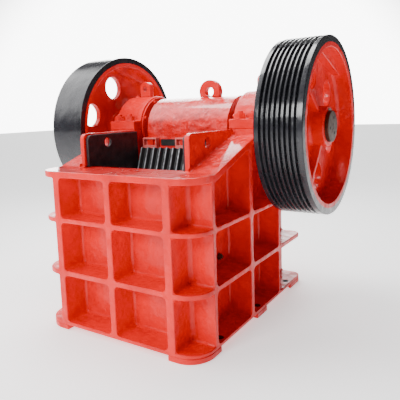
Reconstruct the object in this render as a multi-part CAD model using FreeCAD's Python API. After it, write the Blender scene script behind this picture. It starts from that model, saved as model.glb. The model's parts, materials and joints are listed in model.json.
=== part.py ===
import FreeCAD
import Part
import math
import os

from FreeCAD import Vector

# ---------------------------------------------------------------------------
# Driving dimensions, in millimetres.  X runs along the eccentric shaft, -Y is
# the fixed-jaw end of the machine, +Z is up.  The origin is on the floor, in the
# middle of the machine's overall length and width.
# ---------------------------------------------------------------------------
inner_width = 694.0            # between the inner faces of the side plates
side_thickness = 45.0
ear_thickness = 30.0           # the side plates are thinner above the sloping flange
end_thickness = 45.0           # front and rear wall plates
front_wall = 800.0             # front wall's outer face, ahead of the shaft axis
rear_wall = 245.0              # rear wall's outer face, behind the shaft axis
front_depth = 149.0            # the front belts stand out this far from the wall
rear_depth = 158.0
side_depth = 143.0             # the side belts stand out this far from the side plates
corner_radius = 136.0          # front corners of the belts and flanges
rear_radius = 62.0

foot_height = 28.0
foot_length = 205.0            # corner pads
middle_foot_length = 134.0     # pads at the middle anchor bolts
base_thickness = 20.0
lower_belt_height = 291.0      # undersides, above the underside of the base flange
lower_belt_thickness = 28.0
upper_belt_height = 592.0
upper_belt_thickness = 24.0
top_flange_height = 839.5
top_flange_thickness = 35.0
shaft_rise = 193.0             # shaft axis above the top flange's upper face

rib_thickness = 36.0
front_rib_thickness = 28.0
centre_rib_thickness = 38.0
side_rib_places = (-786.0, -375.0, 21.0)             # rib centres, from the shaft axis
seam = 0.4                     # between the neighbouring stretches of a belt

slope_start = 762.0            # the sloping flange leaves the level here, ahead of the shaft
slope_step = 27.0              # the slope ends this far below the shaft axis
slope_bend = 120.0
ear_front = 742.0              # front edge of the upstanding side plate
ear_step = 5.5                 # its top, below the shaft axis
ear_corner = 34.0
ear_hole_y = 562.0
ear_hole_drop = 53.0           # below the ear's top
ear_hole = 58.0

anchor_edge = 36.0             # from the belt's edge to the anchor bolts
anchor_pitch_y = 450.0
anchor_middle = 255.0          # middle pair of anchor bolts, ahead of the shaft axis
anchor_hole = 42.0

journal_radius = 90.0
eccentricity = 12.0            # straight down at rest
eccentric_collar = 8.0         # least height of the eccentric above the journals
running_clearance = 1.0
fit_clearance = 0.3

housing_radius = 221.0
housing_gap = 5.0              # from the side plate's inner face to the housing's inner end
housing_length = 208.0
housing_flange = 64.0          # the bolting flanges stand out this far
housing_flange_thickness = 58.0
saddle_wall = 42.0
saddle_flange = 40.0
cover_step = 10.0              # the covers are smaller than the housing
cover_thickness = 12.0
cap_eye_radius = 42.0
cap_eye_thickness = 46.0
cap_eye_rise = 75.0
eye_hole = 34.0

wheel_radius = 506.0
wheel_width = 262.0
wheel_gap = 52.0               # between the bearing housing and the wheel
rim_depth = 66.0
web_thickness = 45.0
web_offset = 2.5               # web centre, outward of the wheel's middle plane
web_holes = 6
web_hole = 158.0
web_hole_shift = 22.0          # hole circle, outside the middle of the web
web_hole_turn = 9.7            # first hole, from straight up towards the front
hub_wall = 26.0
hub_inner_length = 84.0        # from the web towards the bearing
hub_outer_length = 84.0        # from the web outwards
gusset_thickness = 26.0
gusset_count = 3
gusset_root = 54.0             # gusset height at the hub
gusset_tip = 5.0               # gusset height at its outer end
weight_chord = 386.0           # from the shaft axis to the flat of the counterweight
weight_turn = -17.5            # the counterweight's middle, from straight up towards the front
weight_thickness = 52.0        # over the web
groove_count = 8
groove_pitch = 27.0
groove_depth = 20.0
groove_mouth = 19.0
groove_floor = 8.0

barrel_radius = 211.0
barrel_end_gap = 47.0          # from the barrel's end to the side plate
jaw_side_gap = 11.0            # from the swing jaw to the cheek liner
jaw_tilt = 20.0                # swing jaw face, from upright
jaw_face_ahead = 32.0          # tooth tips of the swing jaw, ahead of the nose ...
jaw_face_drop = 112.5          # ... at this depth below the shaft axis
jaw_bottom = 105.0
plate_base = 50.0
tooth_pitch = 50.0
tooth_depth = 20.0
tooth_tip = 12.0
nose_height = 62.0
nose_ahead = 37.0              # nose, ahead of the barrel
jaw_slab = 70.0
jaw_rib = 34.0
jaw_rib_inset = 31.0           # outer ribs, from the jaw's edges
clamp_lug_width = 112.0
clamp_pocket_depth = 26.0
clamp_rim = 11.0
eye_radius = 76.0
eye_bore = 62.0
eye_thickness = 44.0
eye_x = 72.0
eye_rise = 32.0

liner_thickness = 20.0
liner_gap = 0.3
fixed_plate_bottom = 75.0
fixed_plate_gap = 2.0

toggle_thickness = 45.0
toggle_inset = 56.0            # from the jaw's edge to the toggle plate's end
toggle_seat_z = 172.0
toggle_block_z = 330.0
toggle_block_height = 130.0
toggle_block_depth = 95.0
toggle_gap = 20.0              # at the open end of the linkage
rod_radius = 17.0
rod_x = 150.0                  # a rod on each side of the rear middle rib
rod_z = 120.0
rod_tail = 190.0               # behind the rear wall
rod_hole_clearance = 8.0
spring_length = 130.0
spring_outer = 47.0
spring_inner = 33.0
spring_turns = 7
washer_radius = 54.0
washer_thickness = 14.0

# ---------------------------------------------------------------------------
# Derived places
# ---------------------------------------------------------------------------
side_in = inner_width / 2.0
side_out = side_in + side_thickness
belt_out = side_out + side_depth
y_axis = (front_wall + front_depth - wheel_radius) / 2.0
y_front = y_axis - front_wall
y_front_in = y_front + end_thickness
y_front_edge = y_front - front_depth
y_rear = y_axis + rear_wall
y_rear_in = y_rear - end_thickness
y_rear_edge = y_rear + rear_depth
z_base = foot_height
z_floor_top = z_base + base_thickness
z_lower = z_base + lower_belt_height
z_lower_top = z_lower + lower_belt_thickness
z_upper = z_base + upper_belt_height
z_upper_top = z_upper + upper_belt_thickness
z_top = z_base + top_flange_height
z_top_face = z_top + top_flange_thickness
storeys = ((z_floor_top, z_lower), (z_lower_top, z_upper), (z_upper_top, z_top))
shaft_height = z_top_face + shaft_rise
saddle_radius = housing_radius + saddle_wall
housing_inner_end = side_in + housing_gap
housing_outer_end = housing_inner_end + housing_length
housing_flange_reach = housing_radius + housing_flange
cover_radius = housing_radius - cover_step
wheel_inner_face = housing_outer_end + wheel_gap
wheel_outer_face = wheel_inner_face + wheel_width
rim_inner_radius = wheel_radius - rim_depth
hub_radius = journal_radius + hub_wall
web_hole_circle = (hub_radius + rim_inner_radius) / 2.0 + web_hole_shift
eccentric_radius = journal_radius + eccentricity + eccentric_collar
anchor_x = belt_out - anchor_edge
ear_top = shaft_height - ear_step
ear_hole_z = ear_top - ear_hole_drop
z_saddle_flange = shaft_height - saddle_flange
z_eccentric = shaft_height - eccentricity
barrel_half_length = side_in - barrel_end_gap
jaw_half_width = side_in - liner_thickness - jaw_side_gap
nose_reach = barrel_radius + nose_ahead
jaw_face_y = nose_reach + jaw_face_ahead
jaw_face_z = shaft_height - jaw_face_drop
tooth_count = 2 * int(jaw_half_width / tooth_pitch) + 1
jaw_rib_outer = jaw_half_width - jaw_rib_inset
toggle_half = jaw_half_width - toggle_inset
tan_slope = (shaft_height - slope_step - z_top_face) / (slope_start - housing_flange_reach)
slope_angle = math.atan(tan_slope)
cos_slope = math.cos(slope_angle)
tan_jaw = math.tan(math.radians(jaw_tilt))
cos_jaw = math.cos(math.radians(jaw_tilt))
sin_jaw = math.sin(math.radians(jaw_tilt))


# ---------------------------------------------------------------------------
# Small building functions
# ---------------------------------------------------------------------------
def outline(corners, place):
    """A closed face through corners (a, b, radius); place(a, b) gives the point."""
    spots = []
    count = len(corners)
    for i in range(count):
        a, b, radius = corners[i]
        here = place(a, b)
        if radius <= 0:
            spots.append((here, None, here))
            continue
        before = place(*corners[i - 1][:2])
        after = place(*corners[(i + 1) % count][:2])
        back = (before - here).normalize()
        on = (after - here).normalize()
        half = back.getAngle(on) / 2.0
        run = radius / math.tan(half)
        middle = (back + on).normalize()
        reach = radius / math.sin(half) - radius
        spots.append((here + back * run, here + middle * reach, here + on * run))
    edges = []
    for i in range(count):
        start, middle, end = spots[i]
        if middle is not None:
            edges.append(Part.Arc(start, middle, end).toShape())
        following = spots[(i + 1) % count][0]
        if (following - end).Length > 1e-6:
            edges.append(Part.LineSegment(end, following).toShape())
    return Part.Face(Part.Wire(edges))


def plan(corners, z0, z1):
    """A level plate from z0 to z1 whose outline (x, y, radius) is seen from above."""
    face = outline(corners, lambda x, y: Vector(x, y, z0))
    return face.extrude(Vector(0, 0, z1 - z0))


def profile(corners, x0, x1):
    """A solid from x0 to x1 whose outline (y, z, radius) is seen from the side."""
    face = outline(corners, lambda y, z: Vector(x0, y, z))
    return face.extrude(Vector(x1 - x0, 0, 0))


def block(x0, x1, y0, y1, z0, z1):
    return Part.makeBox(x1 - x0, y1 - y0, z1 - z0, Vector(x0, y0, z0))


def bar(radius, x0, x1, y, z):
    """A round bar along X."""
    return Part.makeCylinder(radius, x1 - x0, Vector(x0, y, z), Vector(1, 0, 0))


def pin(radius, x, z, y0, y1):
    """A round bar along Y."""
    return Part.makeCylinder(radius, y1 - y0, Vector(x, y0, z), Vector(0, 1, 0))


def mirrored(shape):
    return shape.mirror(Vector(0, 0, 0), Vector(1, 0, 0))


def save(node, *solids):
    """Write one node; several solids of a node go into one compound."""
    shape = solids[0] if len(solids) == 1 else Part.makeCompound(list(solids))
    shape.exportStep("parts/" + node + ".step")


def save_pair(node, solid):
    """The right-hand piece as given and its mirror image on the left."""
    save("right_" + node, solid)
    save("left_" + node, mirrored(solid))


def slope_z(y):
    """Height of the sloping flange's top face at y."""
    return z_top_face + (y - (y_axis - slope_start)) * tan_slope


# ---------------------------------------------------------------------------
# Frame: walls
# ---------------------------------------------------------------------------
def housing_space(grow):
    """The round seat that the bearing housings lie in."""
    return bar(housing_radius + grow, -belt_out - 100, belt_out + 100, y_axis, shaft_height)


def side_plate():
    """Right side plate, notched at its ends where the belts run round the corners."""
    seat = housing_flange_reach
    low = [
        (y_front_edge, z_floor_top, 0), (y_rear_edge, z_floor_top, 0),
        (y_rear_edge, z_top, 0), (y_rear, z_top, 0), (y_rear, z_top_face, 0),
        (y_axis + seat, z_saddle_flange, 0), (y_axis + seat, shaft_height, 0),
        (y_axis - seat, shaft_height, 0), (y_axis - seat, slope_z(y_axis - seat), 0),
        (y_axis - slope_start, z_top_face, 0), (y_front, z_top_face, 0),
        (y_front, z_top, 0), (y_front_edge, z_top, 0),
    ]
    plate = profile(low, side_in, side_out)
    for z0, z1 in ((z_lower, z_lower_top), (z_upper, z_upper_top)):
        plate = plate.cut(block(side_in, side_out, y_front_edge - 1, y_front, z0, z1))
        plate = plate.cut(block(side_in, side_out, y_rear, y_rear_edge + 1, z0, z1))
    ear = profile([
        (y_axis - ear_front, z_top, 0), (y_axis - seat, z_top, 0),
        (y_axis - seat, ear_top, 0), (y_axis - ear_front, ear_top, ear_corner),
    ], side_in, side_in + ear_thickness)
    plate = plate.fuse(ear).cut(housing_space(fit_clearance))
    plate = plate.cut(bar(ear_hole / 2, side_in - 1, side_out + 1, y_axis - ear_hole_y, ear_hole_z))
    return plate.removeSplitter()


def front_plate():
    return block(-side_in, side_in, y_front, y_front_in, z_floor_top, z_top)


def rear_plate():
    """Rear wall with the holes that the tension rods pass through."""
    plate = block(-side_in, side_in, y_rear_in, y_rear, z_floor_top, z_top)
    for x in (-rod_x, rod_x):
        plate = plate.cut(pin(rod_radius + rod_hole_clearance, x, rod_z, y_rear_in, y_rear))
    return plate


# ---------------------------------------------------------------------------
# Frame: belts and flanges
# ---------------------------------------------------------------------------
def belt(z0, z1, inner_front, inner_rear, inner_side):
    """The four stretches of a belt: front, rear, right and left."""
    front = plan([
        (-belt_out, y_front_edge, corner_radius), (belt_out, y_front_edge, corner_radius),
        (belt_out, inner_front, 0), (-belt_out, inner_front, 0),
    ], z0, z1)
    rear = plan([
        (-belt_out, inner_rear, 0), (belt_out, inner_rear, 0),
        (belt_out, y_rear_edge, rear_radius), (-belt_out, y_rear_edge, rear_radius),
    ], z0, z1)
    side = block(inner_side, belt_out, inner_front + seam, inner_rear - seam, z0, z1)
    return [front, rear, side, mirrored(side)]


def base_flange():
    """The foot of the walls all round, with the anchor-bolt holes at both sides."""
    pieces = belt(z_base, z_floor_top, y_front_in, y_rear_in, side_in)
    drilled = []
    for piece in pieces:
        for x in (-anchor_x, anchor_x):
            for k in (-1, 0, 1):
                centre = Vector(x, y_axis - anchor_middle + k * anchor_pitch_y, z_base - 1)
                piece = piece.cut(Part.makeCylinder(anchor_hole / 2, base_thickness + 2, centre))
        drilled.append(piece)
    return drilled


def base_feet():
    """Pads under the four corners of the base flange and under its middle bolts."""
    middle = y_axis - anchor_middle
    pad = block(side_in, belt_out, middle - middle_foot_length / 2, middle + middle_foot_length / 2,
                0, z_base)
    feet = [pad]
    for y0, y1, radius, place in (
            (y_front_edge, y_front_edge + foot_length, corner_radius, "front"),
            (y_rear_edge - foot_length, y_rear_edge, rear_radius, "rear")):
        near = radius if place == "front" else 0
        far = radius if place == "rear" else 0
        foot = plan([
            (side_in, y0, 0), (belt_out, y0, near), (belt_out, y1, far), (side_in, y1, 0),
        ], 0, z_base)
        feet.append(foot)
    drilled = []
    for foot in feet:
        for k in (-1, 0, 1):
            centre = Vector(anchor_x, middle + k * anchor_pitch_y, -1)
            foot = foot.cut(Part.makeCylinder(anchor_hole / 2, z_base + 2, centre))
        drilled += [foot, mirrored(foot)]
    return drilled


def front_top_flange():
    """Level flange over the front wall; it also covers the fixed jaw plate."""
    lip = y_front_in + plate_base + tooth_depth - 5
    return plan([
        (-belt_out, y_front_edge, corner_radius), (belt_out, y_front_edge, corner_radius),
        (belt_out, y_front, 0), (side_in, y_front, 0), (side_in, lip, 0),
        (-side_in, lip, 0), (-side_in, y_front, 0), (-belt_out, y_front, 0),
    ], z_top, z_top_face)


def rear_top_flange():
    return plan([
        (-belt_out, y_rear + seam, 0), (belt_out, y_rear + seam, 0),
        (belt_out, y_rear_edge, rear_radius), (-belt_out, y_rear_edge, rear_radius),
    ], z_top, z_top_face)


def slope_flange():
    """Right sloping flange, from the front corner up to the bearing saddle."""
    end = y_axis - housing_flange_reach
    drop = top_flange_thickness / cos_slope
    bend_y = y_axis - slope_start
    low_bend = bend_y + top_flange_thickness * math.tan(slope_angle / 2)
    return profile([
        (y_front + seam, z_top, 0), (low_bend, z_top, slope_bend + top_flange_thickness),
        (end, slope_z(end) - drop, 0), (end, slope_z(end), 0),
        (bend_y, z_top_face, slope_bend), (y_front + seam, z_top_face, 0),
    ], side_out, belt_out)


# ---------------------------------------------------------------------------
# Frame: ribs
# ---------------------------------------------------------------------------
def end_ribs(y0, y1):
    """The middle rib of an end wall, one stretch a storey."""
    half = centre_rib_thickness / 2
    return [block(-half, half, y0, y1, z0, z1) for z0, z1 in storeys]


def side_ribs():
    """Upright ribs on the right side plate, one stretch a storey."""
    ribs = []
    keep = bar(saddle_radius + fit_clearance, side_out, belt_out + 50, y_axis, shaft_height)
    for i, place in enumerate(side_rib_places):
        half = (front_rib_thickness if i == 0 else rib_thickness) / 2
        y0 = y_axis + place - half
        y1 = y_axis + place + half
        for storey, (z0, z1) in enumerate(storeys):
            if storey == 2 and i == 1:
                roof = slope_z(y0) - top_flange_thickness / cos_slope
                roof_far = slope_z(y1) - top_flange_thickness / cos_slope
                rib = profile([(y0, z0, 0), (y1, z0, 0), (y1, roof_far, 0), (y0, roof, 0)],
                              side_out, belt_out)
            elif storey == 2 and i == 2:
                rib = block(side_out, belt_out, y0, y1, z0, z_saddle_flange).cut(keep)
            else:
                rib = block(side_out, belt_out, y0, y1, z0, z1)
            ribs.append(rib)
    return ribs


# ---------------------------------------------------------------------------
# Frame: bearings
# ---------------------------------------------------------------------------
def saddle():
    """Right cast saddle outside the side plate: a round trough with two flanges."""
    trough = bar(saddle_radius, side_out, housing_outer_end, y_axis, shaft_height)
    reach = housing_flange_reach
    flanges = block(side_out, housing_outer_end, y_axis - reach, y_axis + reach,
                    z_saddle_flange, shaft_height)
    above = block(side_out - 1, housing_outer_end + 1, y_axis - reach - 1, y_axis + reach + 1,
                  shaft_height, shaft_height + saddle_radius + 1)
    return trough.fuse(flanges).cut(above).cut(housing_space(fit_clearance)).removeSplitter()


def housing_ring():
    ring = bar(housing_radius, housing_inner_end, housing_outer_end, y_axis, shaft_height)
    return ring.cut(bar(journal_radius + running_clearance, housing_inner_end - 1,
                        housing_outer_end + 1, y_axis, shaft_height))


def half_space(z0, z1):
    reach = housing_flange_reach + 10
    return block(housing_inner_end - 5, housing_outer_end + 5, y_axis - reach, y_axis + reach, z0, z1)


def bearing_housing():
    """Lower half of the right bearing housing."""
    return housing_ring().common(half_space(shaft_height - housing_radius - 5, shaft_height))


def bearing_cap():
    """Upper half of the right bearing housing with its two bolting flanges."""
    upper = housing_ring().common(half_space(shaft_height, shaft_height + housing_radius + 5))
    flange = block(housing_inner_end, housing_outer_end, y_axis - housing_flange_reach,
                   y_axis + housing_flange_reach, shaft_height, shaft_height + housing_flange_thickness)
    inside = bar(housing_radius - 20, housing_inner_end - 1, housing_outer_end + 1, y_axis, shaft_height)
    return upper.fuse(flange.cut(inside)).removeSplitter()


def end_covers():
    """Round covers on both ends of the right bearing housing."""
    covers = []
    for x0 in (housing_inner_end - cover_thickness, housing_outer_end):
        disc = bar(cover_radius, x0, x0 + cover_thickness, y_axis, shaft_height)
        hole = bar(journal_radius + running_clearance, x0 - 1, x0 + cover_thickness + 1,
                   y_axis, shaft_height)
        covers.append(disc.cut(hole))
    return covers


def cap_eye():
    """Lifting eye on top of the right bearing cap; its hole runs along Y."""
    middle = (housing_inner_end + housing_outer_end) / 2
    top = shaft_height + housing_radius
    face = outline([
        (middle - cap_eye_radius, top - 40, 0), (middle + cap_eye_radius, top - 40, 0),
        (middle + cap_eye_radius, top + cap_eye_rise + 28, cap_eye_radius - 1),
        (middle - cap_eye_radius, top + cap_eye_rise + 28, cap_eye_radius - 1),
    ], lambda x, z: Vector(x, y_axis - cap_eye_thickness / 2, z))
    eye = face.extrude(Vector(0, cap_eye_thickness, 0))
    half = cap_eye_thickness / 2 + 1
    hole = pin(eye_hole / 2, middle, top + cap_eye_rise - 20, y_axis - half, y_axis + half)
    seat = bar(housing_radius + fit_clearance, housing_inner_end, housing_outer_end, y_axis, shaft_height)
    return eye.cut(hole).cut(seat)


# ---------------------------------------------------------------------------
# Crushing chamber
# ---------------------------------------------------------------------------
def toothed_plate(length, flat_ends):
    """A jaw plate lying in the XY plane: back at z = 0, teeth up, length along +Y."""
    half = tooth_pitch * tooth_count / 2 - tooth_pitch / 2
    edge = flat_ends
    points = [(-edge, 0), (edge, 0), (edge, plate_base)]
    for k in range(tooth_count - 1, -1, -1):
        middle = -half + k * tooth_pitch
        root = tooth_pitch / 2 - tooth_tip / 2
        right = min(middle + root, edge)
        left = max(middle - root, -edge)
        points.append((right, plate_base))
        points.append((middle + tooth_tip / 2, plate_base + tooth_depth))
        points.append((middle - tooth_tip / 2, plate_base + tooth_depth))
        points.append((left, plate_base))
    points.append((-edge, plate_base))
    clean = [points[0]]
    for point in points[1:]:
        if abs(point[0] - clean[-1][0]) + abs(point[1] - clean[-1][1]) > 1e-6:
            clean.append(point)
    face = outline([(x, z, 0) for x, z in clean], lambda x, z: Vector(x, 0, z))
    return face.extrude(Vector(0, length, 0))


def fixed_jaw_plate():
    """Stands against the front wall, teeth facing the swing jaw."""
    length = z_top - fixed_plate_gap - fixed_plate_bottom
    plate = toothed_plate(length, side_in - liner_thickness - 2 * liner_gap - 1)
    plate.rotate(Vector(0, 0, 0), Vector(1, 0, 0), 90)
    plate.rotate(Vector(0, 0, 0), Vector(0, 0, 1), 180)
    plate.translate(Vector(0, y_front_in, fixed_plate_bottom))
    return plate


def cheek_plate():
    """Right cheek liner, from the front wall back to the swing jaw, hole as in the side plate."""
    foot = z_floor_top + 20
    back_top = y_axis - jaw_face_y - 5
    liner = profile([
        (y_front_in + fit_clearance, foot, 0), (y_axis - jaw_face_y - 200, foot, 0),
        (back_top, jaw_face_z - 250, 0), (back_top, ear_top - 4, 0),
        (y_axis - ear_front + 14, ear_top - 4, ear_corner),
        (y_axis - ear_front + 14, z_top_face + 2, 0), (y_front_in + fit_clearance + 70, z_top_face + 2, 0),
        (y_front_in + fit_clearance + 70, z_top - 2, 0), (y_front_in + fit_clearance, z_top - 2, 0),
    ], side_in - liner_thickness, side_in - liner_gap)
    return liner.cut(bar(ear_hole / 2, side_in - liner_thickness - 1, side_in + 1,
                         y_axis - ear_hole_y, ear_hole_z))


# ---------------------------------------------------------------------------
# Swing jaw: the casting that hangs on the eccentric
# ---------------------------------------------------------------------------
def on_jaw(depth, z):
    """y of the plane that lies depth behind the swing jaw's tooth tips, at height z."""
    return y_axis - jaw_face_y + depth / cos_jaw - (jaw_face_z - z) * tan_jaw


def swing_jaw():
    """Barrel, nose, jaw slab, four ribs and the toggle seat, as one casting."""
    seat = plate_base + tooth_depth
    back = seat + jaw_slab
    top = jaw_face_z + nose_height
    barrel = bar(barrel_radius, -barrel_half_length, barrel_half_length, y_axis, z_eccentric)
    slab = profile([
        (on_jaw(seat, jaw_bottom), jaw_bottom, 0), (on_jaw(back, jaw_bottom), jaw_bottom, 0),
        (on_jaw(back, jaw_face_z) + 40, jaw_face_z, 0), (y_axis - 40, top, 0),
        (y_axis - barrel_radius, top, 0), (y_axis - barrel_radius, jaw_face_z - 40, 0),
        (on_jaw(seat, jaw_face_z - 40), jaw_face_z - 40, 0),
    ], -jaw_half_width, jaw_half_width)
    body = barrel.fuse(slab)
    heel_y = on_jaw(back, jaw_bottom) + 60
    for k in (-3, -1, 1, 3):
        x = k * jaw_rib_outer / 3
        rib = profile([
            (on_jaw(back - 5, jaw_bottom), jaw_bottom, 0), (heel_y, jaw_bottom, 0),
            (heel_y, toggle_seat_z + 70, 0), (y_axis + 60, z_eccentric - barrel_radius + 25, 0),
            (y_axis - 60, z_eccentric - 100, 0), (on_jaw(back - 5, jaw_face_z), jaw_face_z, 0),
        ], x - jaw_rib / 2, x + jaw_rib / 2)
        body = body.fuse(rib)
    heel = profile([
        (on_jaw(back - 5, jaw_bottom), jaw_bottom, 0), (heel_y, jaw_bottom, 0),
        (heel_y, toggle_seat_z + 60, 0), (on_jaw(back - 5, toggle_seat_z + 60), toggle_seat_z + 60, 0),
    ], -jaw_half_width + 20, jaw_half_width - 20)
    body = body.fuse(heel)
    bore = bar(eccentric_radius + running_clearance, -jaw_half_width - 50, jaw_half_width + 50,
               y_axis, z_eccentric)
    return body.cut(bore).removeSplitter()


def plate_end(y):
    """Height of the swing jaw plate's square-cut top end at y."""
    return jaw_face_z - (y - (y_axis - jaw_face_y)) * tan_jaw


def swing_jaw_plate():
    """Lies on the slab, teeth facing the fixed jaw."""
    seat = plate_base + tooth_depth
    low = jaw_bottom + 12
    high = jaw_face_z - seat * sin_jaw
    plate = toothed_plate((high - low) / cos_jaw, jaw_half_width)
    plate.rotate(Vector(0, 0, 0), Vector(1, 0, 0), 90 - jaw_tilt)
    plate.translate(Vector(0, on_jaw(seat, low) - fit_clearance, low))
    return plate


def jaw_clamp():
    """Three bolting lugs across the nose, seated on the top end of the swing jaw plate."""
    y0 = y_axis - nose_reach
    y1 = y0 + nose_ahead - fit_clearance
    z1 = jaw_face_z + nose_height - 4
    lugs = []
    for k in (-1, 0, 1):
        x = k * (jaw_half_width - clamp_lug_width / 2)
        half = clamp_lug_width / 2
        lug = profile([
            (y0, plate_end(y0) + fit_clearance, 0), (y1, plate_end(y1) + fit_clearance, 0),
            (y1, z1, 0), (y0, z1, 0),
        ], x - half, x + half)
        pocket = block(x - half + clamp_rim, x + half - clamp_rim, y0 - 1, y0 + clamp_pocket_depth,
                       jaw_face_z + clamp_rim, z1 - clamp_rim)
        lugs.append(lug.cut(pocket))
    return lugs


def pitman_eye():
    """Lifting eye standing on the barrel; its bore runs along Y."""
    z = z_eccentric + barrel_radius + eye_rise
    half = eye_thickness / 2
    ring = pin(eye_radius, eye_x, z, y_axis - half, y_axis + half)
    bore = pin(eye_bore / 2, eye_x, z, y_axis - half - 1, y_axis + half + 1)
    seat = bar(barrel_radius + fit_clearance, eye_x - 200, eye_x + 200, y_axis, z_eccentric)
    return ring.cut(bore).cut(seat)


# ---------------------------------------------------------------------------
# Rotor
# ---------------------------------------------------------------------------
def eccentric_shaft():
    shaft = bar(journal_radius, -wheel_outer_face, wheel_outer_face, y_axis, shaft_height)
    throw = bar(eccentric_radius, -barrel_half_length, barrel_half_length, y_axis, z_eccentric)
    return shaft.fuse(throw).removeSplitter()


def revolved(points):
    """Turn an outline of (x, radius) points about the shaft axis."""
    corners = [(x, r, 0) for x, r in points]
    face = outline(corners, lambda x, r: Vector(x, y_axis, shaft_height + r))
    return face.revolve(Vector(0, y_axis, shaft_height), Vector(1, 0, 0), 360)


def wheel_rim(grooved):
    """Rim of the right-hand wheel, with V-grooves or with a plain tread."""
    x0 = wheel_inner_face
    x1 = wheel_outer_face
    points = [(x0, rim_inner_radius), (x0, wheel_radius)]
    if grooved:
        first = (x0 + x1) / 2 - groove_pitch * (groove_count - 1) / 2
        for k in range(groove_count):
            x = first + k * groove_pitch
            points += [
                (x - groove_mouth / 2, wheel_radius), (x - groove_floor / 2, wheel_radius - groove_depth),
                (x + groove_floor / 2, wheel_radius - groove_depth), (x + groove_mouth / 2, wheel_radius),
            ]
    points += [(x1, wheel_radius), (x1, rim_inner_radius)]
    return revolved(points)


def wheel_disc(hole_count, weight_side):
    """Web with holes, hub and counterweight of the right-hand wheel; side 1 is the outer face."""
    middle = wheel_inner_face + wheel_width / 2 + web_offset
    x0 = middle - web_thickness / 2
    x1 = middle + web_thickness / 2
    bore = journal_radius + fit_clearance
    disc = revolved([
        (x0 - hub_inner_length, bore), (x0 - hub_inner_length, hub_radius), (x0, hub_radius),
        (x0, rim_inner_radius), (x1, rim_inner_radius), (x1, hub_radius),
        (x1 + hub_outer_length, hub_radius), (x1 + hub_outer_length, bore),
    ])
    step = 360.0 / web_holes
    for k in range(hole_count):
        angle = math.radians(web_hole_turn + k * step)
        hole = bar(web_hole / 2, x0 - 1, x1 + 1, y_axis - web_hole_circle * math.sin(angle),
                   shaft_height + web_hole_circle * math.cos(angle))
        disc = disc.cut(hole)
    inner = x1 - 1 if weight_side > 0 else x0 + 1 - weight_thickness
    segment = bar(rim_inner_radius - fit_clearance, inner, inner + weight_thickness, y_axis, shaft_height)
    beyond = block(inner, inner + weight_thickness, y_axis - wheel_radius, y_axis + wheel_radius,
                   shaft_height + weight_chord, shaft_height + wheel_radius)
    beyond.rotate(Vector(0, y_axis, shaft_height), Vector(1, 0, 0), weight_turn)
    return disc.fuse(segment.common(beyond)).removeSplitter()


def wheel_gussets():
    """Tapering gussets between the hub and the rim of the right-hand wheel."""
    x1 = wheel_inner_face + wheel_width / 2 + web_offset + web_thickness / 2
    hub = bar(hub_radius + fit_clearance, x1 - 1, wheel_outer_face + 1, y_axis, shaft_height)
    gussets = []
    for k in range(gusset_count):
        gusset = outline([
            (x1, hub_radius - 6, 0), (x1 + gusset_root, hub_radius - 6, 0),
            (x1 + gusset_tip, rim_inner_radius - 1, 0), (x1, rim_inner_radius - 1, 0),
        ], lambda x, r: Vector(x, y_axis - gusset_thickness / 2, shaft_height + r))
        gusset = gusset.extrude(Vector(0, gusset_thickness, 0)).cut(hub)
        gusset.rotate(Vector(0, y_axis, shaft_height), Vector(1, 0, 0),
                      web_hole_turn + 180.0 / web_holes + k * 360.0 / gusset_count)
        gussets.append(gusset)
    return gussets


# ---------------------------------------------------------------------------
# Toggle and tension rod
# ---------------------------------------------------------------------------
def heel_face():
    """y of the swing jaw's toggle seat."""
    return on_jaw(plate_base + tooth_depth + jaw_slab, jaw_bottom) + 60


def toggle_block():
    """Seat of the toggle plate, on the inner face of the rear wall."""
    half = toggle_block_height / 2
    return block(-toggle_half - 30, toggle_half + 30, y_rear_in - toggle_block_depth, y_rear_in,
                 toggle_block_z - half, toggle_block_z + half)


def toggle_plate():
    """Strut between the toggle block and the swing jaw's heel, round at both ends."""
    y0 = heel_face() + toggle_gap + toggle_thickness / 2
    y1 = y_rear_in - toggle_block_depth - toggle_thickness / 2
    half = toggle_half
    front = Vector(0, y0, toggle_seat_z)
    rear = Vector(0, y1, toggle_block_z)
    along = (rear - front).normalize()
    across = Vector(0, -along.z, along.y) * (toggle_thickness / 2)
    corners = [front - across, rear - across, rear + across, front + across]
    strut = profile([(c.y, c.z, 0) for c in corners], -half, half)
    ends = [bar(toggle_thickness / 2, -half, half, c.y, c.z) for c in (front, rear)]
    return strut.fuse(ends[0]).fuse(ends[1]).removeSplitter()


def tension_rod():
    """Right rod through the rear wall, with its washer behind the spring."""
    front = heel_face() + toggle_gap
    rod = pin(rod_radius, rod_x, rod_z, front, y_rear + rod_tail)
    start = y_rear + spring_length
    washer = pin(washer_radius, rod_x, rod_z, start, start + washer_thickness)
    return rod.fuse(washer).removeSplitter()


def tension_spring():
    """Close-coiled spring between the rear wall and the washer, with one bump a turn."""
    pitch = spring_length / spring_turns
    bump = (spring_outer - spring_inner) / 4
    points = [(y_rear, spring_inner), (y_rear, spring_outer - bump)]
    for k in range(spring_turns):
        start = y_rear + k * pitch
        points += [(start + pitch * 0.25, spring_outer), (start + pitch * 0.75, spring_outer),
                   (start + pitch, spring_outer - bump)]
    points.append((y_rear + spring_length, spring_inner))
    face = outline([(y, r, 0) for y, r in points], lambda y, r: Vector(rod_x, y, rod_z + r))
    return face.revolve(Vector(rod_x, 0, rod_z), Vector(0, 1, 0), 360)


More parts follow.
